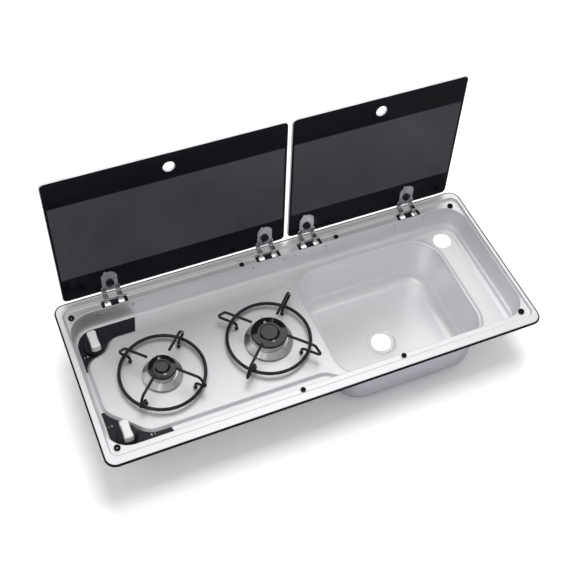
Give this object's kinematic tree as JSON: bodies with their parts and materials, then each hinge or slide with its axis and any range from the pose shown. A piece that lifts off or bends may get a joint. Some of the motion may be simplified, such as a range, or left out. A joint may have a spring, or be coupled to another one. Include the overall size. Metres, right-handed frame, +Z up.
{
  "type": "hob and sink combination unit with glass lids",
  "caption": "Inset stainless unit for a small kitchen: gas hob with pan supports and knobs beside a sink bowl, under hinged glass lids.",
  "frame": {"origin": "middle of the unit on the worktop's top face, where the seal's underside rests", "axes": "+X along the unit to the right, from the hob to the sink, +Y to the back, where the lids are hinged, +Z up"},
  "size_m": [0.9, 0.3975, 0.4895],
  "materials": {
    "sheet_steel": "satin",
    "lid_glass": "gloss",
    "hinge_steel": "satin",
    "plated_steel": "polished",
    "black_rubber": "matt",
    "black_plastic": "matt",
    "silver_plastic": "satin",
    "black_enamel": "gloss",
    "cast_alloy": "satin",
    "brass": "satin"
  },
  "bodies": {
    "unit": {"tray_rim": "sheet_steel", "tray_wall": "sheet_steel", "wall_corners": "sheet_steel", "hob_plate": "sheet_steel", "sink_bowl": "sheet_steel", "rim_seal": "black_rubber", "corner_bushes": "black_rubber", "ledge_buffers": "black_rubber", "hinge_slot_plates": "black_plastic", "hinge_brackets": "hinge_steel", "hinge_pins": "plated_steel", "hinge_rivets": "plated_steel", "rear_control_panel": "black_plastic", "front_control_panel": "black_plastic", "rear_gas_tap": "brass", "front_gas_tap": "brass", "gas_manifold": "brass", "feed_pipes": "brass", "flame_probes": "hinge_steel", "small_burner_cup": "cast_alloy", "small_burner_jet": "brass", "small_burner_head": "cast_alloy", "small_burner_cap": "black_enamel", "small_cap_screws": "plated_steel", "large_burner_cup": "cast_alloy", "large_burner_jet": "brass", "large_burner_head": "cast_alloy", "large_burner_cap": "black_enamel", "large_cap_screws": "plated_steel", "left_support_ring": "black_enamel", "left_support_fingers": "black_enamel", "left_support_feet": "black_rubber", "right_support_ring": "black_enamel", "right_support_fingers": "black_enamel", "right_support_feet": "black_rubber"},
    "left_lid": {"left_lid_glass": "lid_glass", "left_hinge_straps": "hinge_steel", "left_strap_gaskets": "black_rubber", "left_strap_screws": "black_plastic", "left_strap_nuts": "black_plastic"},
    "right_lid": {"right_lid_glass": "lid_glass", "right_hinge_straps": "hinge_steel", "right_strap_gaskets": "black_rubber", "right_strap_screws": "black_plastic", "right_strap_nuts": "black_plastic"},
    "rear_plug": {"rear_tap_plug": "brass"},
    "rear_knob": {"rear_tap_spindle": "plated_steel", "rear_knob_skirt": "black_plastic", "rear_knob_grip": "silver_plastic"},
    "front_plug": {"front_tap_plug": "brass"},
    "front_knob": {"front_tap_spindle": "plated_steel", "front_knob_skirt": "black_plastic", "front_knob_grip": "silver_plastic"}
  },
  "joints": [
    {"name": "left_lid_hinge", "type": "hinge", "parent": "unit", "child": "left_lid", "pos_m": [0, 0.1715, -0.0075], "axis": [1, 0, 0], "range_deg": [0, 94.5]},
    {"name": "right_lid_hinge", "type": "hinge", "parent": "unit", "child": "right_lid", "pos_m": [0, 0.1715, -0.0075], "axis": [1, 0, 0], "range_deg": [0, 94.5]},
    {"name": "rear_knob_turn", "type": "hinge", "parent": "unit", "child": "rear_plug", "pos_m": [-0.393, 0.1015, -0.07], "axis": [0, 0, 1], "range_deg": [0, 210]},
    {"name": "rear_knob_push", "type": "slide", "parent": "rear_plug", "child": "rear_knob", "axis": [0, 0, -1], "range_m": [0, 0.003], "stiffness_N_per_m": 2000, "springref_m": -0.003},
    {"name": "front_knob_turn", "type": "hinge", "parent": "unit", "child": "front_plug", "pos_m": [-0.393, -0.1075, -0.07], "axis": [0, 0, 1], "range_deg": [0, 210]},
    {"name": "front_knob_push", "type": "slide", "parent": "front_plug", "child": "front_knob", "axis": [0, 0, -1], "range_m": [0, 0.003], "stiffness_N_per_m": 2000, "springref_m": -0.003}
  ]
}
